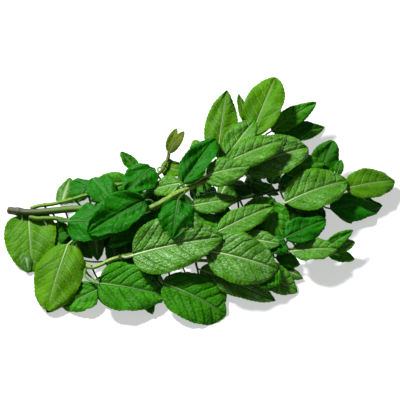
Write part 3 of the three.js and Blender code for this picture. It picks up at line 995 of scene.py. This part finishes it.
# %% The class
class Shade:
    """A socket in a material, or the empty start of one."""

    def __init__(self, tree, socket=None):
        self.tree = tree
        self.socket = socket

    def node(self, kind, settings, sockets, output=0):
        made = self.tree.nodes.new(kind)
        for name, value in settings.items():
            setattr(made, name, value)
        for name, value in sockets.items():
            if isinstance(value, Shade):
                self.tree.links.new(value.socket, made.inputs[name])
            else:
                made.inputs[name].default_value = value
        return Shade(self.tree, made.outputs[output])

    def sum(self, operation, a, b):
        return self.node("ShaderNodeMath", {"operation": operation}, {0: a, 1: b})

    def __add__(self, other):
        return self.sum("ADD", self, other)

    def __sub__(self, other):
        return self.sum("SUBTRACT", self, other)

    def __rsub__(self, other):
        return self.sum("SUBTRACT", other, self)

    def __mul__(self, other):
        return self.sum("MULTIPLY", self, other)

    __radd__ = __add__
    __rmul__ = __mul__

    def marked(self, name, output="Fac"):
        return self.node("ShaderNodeAttribute", {"attribute_name": name}, {}, output)

    def mix(self, share, a, b, blend="MIX"):
        settings = {"data_type": "RGBA", "blend_type": blend, "clamp_factor": True}
        return self.node("ShaderNodeMix", settings, {0: share, 6: a, 7: b}, 2)


def opaque(colour):
    return (*[float(c) for c in colour], 1.0)


def new_material(name):
    made = bpy.data.materials.new(name)
    made.use_nodes = True
    made.node_tree.nodes.clear()
    return made, Shade(made.node_tree)


def noise(shade, place, scale, detail):
    return shade.node("ShaderNodeTexNoise", {}, {"Vector": place, "Scale": scale, "Detail": detail}, "Fac")


def times(shade, colour, shares):
    """A colour, with its red, green and blue multiplied."""
    return shade.mix(1.0, colour, shares, "MULTIPLY")


def put_on(made, surface):
    """Makes a shader the surface of a material."""
    output = made.node_tree.nodes.new("ShaderNodeOutputMaterial")
    made.node_tree.links.new(surface.socket, output.inputs["Surface"])


# %% [markdown]
# ## Leaf green
#
# A mint leaf is a thin green sheet with a soft waxy shine. Light comes through it, so a leaf with
# the lamp behind it glows yellow-green: a little Translucent shader mixed in does that. The vein
# grooves and the lines between the cells are painted darker, as painted shade in those creases,
# the midrib is pale, the tops of the swellings are painted a faint grey-blue sheen, as a painted
# highlight, and the underside is duller and greyer than the top.

# %% The leaf materials
GLOW = opaque(screen(120, 190, 10))
GLOW_SHARE = 0.16
# painted highlight: the pale grey-blue sheen that is painted onto the tops of the swellings
SHEEN_PAINT = opaque(screen(142, 190, 112))
PALE_RIB = opaque(screen(204, 228, 170))
UNDERSIDE = opaque(screen(104, 150, 60))
DARKER = opaque((0.6, 0.7, 0.5))  # shares of the leaf's own green
# painted shade in the vein grooves, as shares of the leaf's own green
GROOVE_SHADE_TINT = opaque((0.3, 0.45, 0.25))
LIGHTER = opaque((1.35, 1.2, 1.2))
CLOUD_SCALE, PATCH_SCALE, GRAIN_SCALE = 90.0, 11.0, 62.0
CLOUD_GAIN, CLOUD_BASE = 1.8, 0.4  # noise stays near its middle, so it is spread out first
CELL_WALL_SHADE, CELL_SHADE_WITH_SHEEN = 0.3, 0.35  # painted shade in the lines between cells, and more of it on leaves with painted sheen
# where the painted sheen lies: in patches on the tops of the swellings, off the lines between cells
SHEEN_PATCHES, SHEEN_GRAIN, SHEEN_BASE = 3.4, 2.2, 2.3
SHEEN_STRENGTH = 0.6
VEIN_GAIN, VEIN_BASE = 3.0, 2.0  # only the middle of a vein is pale
EDGE_LIGHTNESS = 0.35
RIB_STRENGTH = 0.95
UNDERSIDE_SHARE = 0.35
SKIN_ROUGHNESS = 0.36
SWELL_POLISH, UNDERSIDE_MATT, GRAIN_MATT = 0.1, 0.25, 0.1  # what takes from it and adds to it
LEAF_IOR = 1.45
SKIN_BUMP = {"Strength": 0.8, "Distance": 0.6 * MM}


def leaf_colour(shade, look, swell, patch, grain):
    """The green of the upper side, with everything that is marked on it: painted shade in the grooves and
    between the cells, and a painted sheen on the swellings.
    """
    tint = shade.marked("tint", "Color")
    rib, vein, cell = shade.marked("rib"), shade.marked("vein"), shade.marked("cell")
    edge = shade.marked("edge")
    place = shade.node("ShaderNodeTexCoord", {}, {}, "Object")
    cloud = noise(shade, place, CLOUD_SCALE, detail=3.0)
    darker, lighter = times(shade, tint, DARKER), times(shade, tint, LIGHTER)
    body = shade.mix(cloud * CLOUD_GAIN - CLOUD_BASE, darker, lighter)
    # painted shade in the vein grooves
    body = shade.mix(vein * look.painted_groove_shade, body, times(shade, tint, GROOVE_SHADE_TINT))
    # painted shade in the lines between the cells
    body = shade.mix(cell * (CELL_WALL_SHADE + CELL_SHADE_WITH_SHEEN * look.painted_sheen), body, darker)
    # painted highlight: a pale sheen on the tops of the swellings, in patches
    sheen_mask = swell * swell * (1 - cell) * (patch * SHEEN_PATCHES + grain * SHEEN_GRAIN - SHEEN_BASE)
    body = shade.mix(sheen_mask * (SHEEN_STRENGTH * look.painted_sheen), body, SHEEN_PAINT)
    body = shade.mix((vein * VEIN_GAIN - VEIN_BASE) * look.pale_veins, body, PALE_RIB)
    body = shade.mix(edge * EDGE_LIGHTNESS, body, lighter)
    return shade.mix(rib * (RIB_STRENGTH * look.pale_rib), body, PALE_RIB)


def leaf_material(name, look):
    made, shade = new_material(name)
    flat = shade.node("ShaderNodeUVMap", {"uv_map": "leaf_map"}, {})
    patch = noise(shade, flat, PATCH_SCALE, detail=2.0)
    grain = noise(shade, flat, GRAIN_SCALE, detail=4.0)
    upper, swell = shade.marked("upper"), shade.marked("swell")
    body = leaf_colour(shade, look, swell, patch, grain)
    below = shade.mix(UNDERSIDE_SHARE, body, UNDERSIDE)
    roughness = SKIN_ROUGHNESS - SWELL_POLISH * swell + UNDERSIDE_MATT * (1 - upper) + grain * GRAIN_MATT
    relief = shade.node("ShaderNodeBump", {}, {**SKIN_BUMP, "Height": grain})
    skin = shade.node(
        "ShaderNodeBsdfPrincipled",
        {},
        {
            "Base Color": shade.mix(upper, below, body),
            "Roughness": roughness,
            "Normal": relief,
            "IOR": LEAF_IOR,
            "Specular IOR Level": look.shine,
        },
    )
    glow = shade.node("ShaderNodeBsdfTranslucent", {}, {"Color": GLOW})
    put_on(made, shade.node("ShaderNodeMixShader", {}, {0: GLOW_SHARE, 1: skin, 2: glow}))
    return made


leaf_skins = {name: leaf_material("mint_leaf_" + name, look) for name, look in LOOKS.items()}
print(len(leaf_skins), "leaf materials")

# %% [markdown]
# ## Stem green
#
# The stem is fleshy and smooth, pale where it is young, and stained purple-brown where the sun
# reached it. Fine lines run along it, and each node has a darker ring. The cut end has dried
# brown, with a paler pith in its middle.

# %% The stem material
STREAKS = (14.0, 30.0, 1.0)  # how often they repeat along the stem and round it
NODE_BROWN = opaque(screen(74, 84, 30))
CUT_BROWN = opaque(screen(104, 92, 56))
STEM_DARKER = opaque((0.62, 0.6, 0.5))  # shares of the stem's own colour
STEM_LIGHTER = opaque((1.35, 1.3, 1.4))
STREAK_GAIN, STREAK_BASE = 1.4, 0.2
BLOTCH_SCALE, BLOTCH_GAIN, BLOTCH_BASE = 60.0, 0.5, 0.1
NODE_STRENGTH, CUT_STRENGTH = 0.45, 0.8
STEM_ROUGHNESS, STREAK_MATT = 0.38, 0.2
STEM_SHINE = 0.2
STEM_BUMP = {"Strength": 0.4, "Distance": 0.3 * MM}
LIGHT_SHARE = 0.15  # of the light that goes into the stem
LIGHT_DEPTH = (1.2 * MM, 1.6 * MM, 0.6 * MM)  # how deep red, green and blue go


def stem_material(name):
    made, shade = new_material(name)
    tint = shade.marked("tint", "Color")
    flat = shade.node("ShaderNodeUVMap", {"uv_map": "leaf_map"}, {})
    stretched = shade.node("ShaderNodeMapping", {}, {"Vector": flat, "Scale": STREAKS})
    streaks = noise(shade, stretched, scale=1.0, detail=4.0)
    place = shade.node("ShaderNodeTexCoord", {}, {}, "Object")
    blotch = noise(shade, place, BLOTCH_SCALE, detail=2.0)
    body = shade.mix(streaks * STREAK_GAIN - STREAK_BASE, times(shade, tint, STEM_DARKER), tint)
    body = shade.mix(blotch * BLOTCH_GAIN - BLOTCH_BASE, body, times(shade, tint, STEM_LIGHTER))
    body = shade.mix(shade.marked("node") * NODE_STRENGTH, body, NODE_BROWN)
    body = shade.mix(shade.marked("cut") * CUT_STRENGTH, body, CUT_BROWN)
    skin = shade.node(
        "ShaderNodeBsdfPrincipled",
        {},
        {
            "Base Color": body,
            "Roughness": STEM_ROUGHNESS + STREAK_MATT * streaks,
            "Normal": shade.node("ShaderNodeBump", {}, {**STEM_BUMP, "Height": streaks}),
            "Specular IOR Level": STEM_SHINE,
            "Subsurface Weight": LIGHT_SHARE,
            "Subsurface Radius": LIGHT_DEPTH,
            "Subsurface Scale": 1.0,
        },
    )
    put_on(made, skin)
    return made


stem_skin = stem_material("mint_stem")
print("stem material:", len(stem_skin.node_tree.nodes), "nodes")

# %% [markdown]
# ## The white table
#
# The table is matt and nearly white, and the shadows on it are so light that they only just
# show. A light table, lit from underneath, gives that look, and it could be a thin sheet over a
# lamp. Here a Mix Shader makes the top half matt and half glowing, the same all over, which is
# simpler and does not depend on where it is seen from.

# %% Table top
TABLE_GLOW = 0.5
GLOW_STRENGTH = 1.0
GLOW_WHITE = (1, 1, 1, 1)
TABLE_WHITES = ((0.93, 0.93, 0.93, 1), (0.95, 0.95, 0.95, 1))
SPECK_SCALE = 6.0
TABLE_ROUGHNESS = 0.85


def table_material(name):
    made, shade = new_material(name)
    spot = shade.node("ShaderNodeTexCoord", {}, {}, "Object")
    white = shade.mix(noise(shade, spot, SPECK_SCALE, detail=2.0), *TABLE_WHITES)
    matt = shade.node("ShaderNodeBsdfPrincipled", {}, {"Base Color": white, "Roughness": TABLE_ROUGHNESS})
    shine = shade.node("ShaderNodeEmission", {}, {"Color": GLOW_WHITE, "Strength": GLOW_STRENGTH})
    put_on(made, shade.node("ShaderNodeMixShader", {}, {0: TABLE_GLOW, 1: matt, 2: shine}))
    return made


table_top = table_material("white_table")
table_mesh.materials.append(table_top)
print("table:", len(table_top.node_tree.nodes), "nodes")

# %% [markdown]
# ## Putting the pieces in place
#
# Each piece gets its material and rides on the one body of the sprig, and a piece grown from a
# solid hides that solid.

# %% Ride, replace, finish
for name, piece in pieces.items():
    is_leaf = name in look_of
    piece.data.materials.append(leaf_skins[look_of[name]] if is_leaf else stem_skin)
    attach(piece, "root")
    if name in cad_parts:
        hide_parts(name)

visual_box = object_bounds()
growth = [[round(float(b - a) / MM, 1) for a, b in zip(x, y)] for x, y in zip(solid_box, visual_box)]
print("box grew by", growth, "mm")
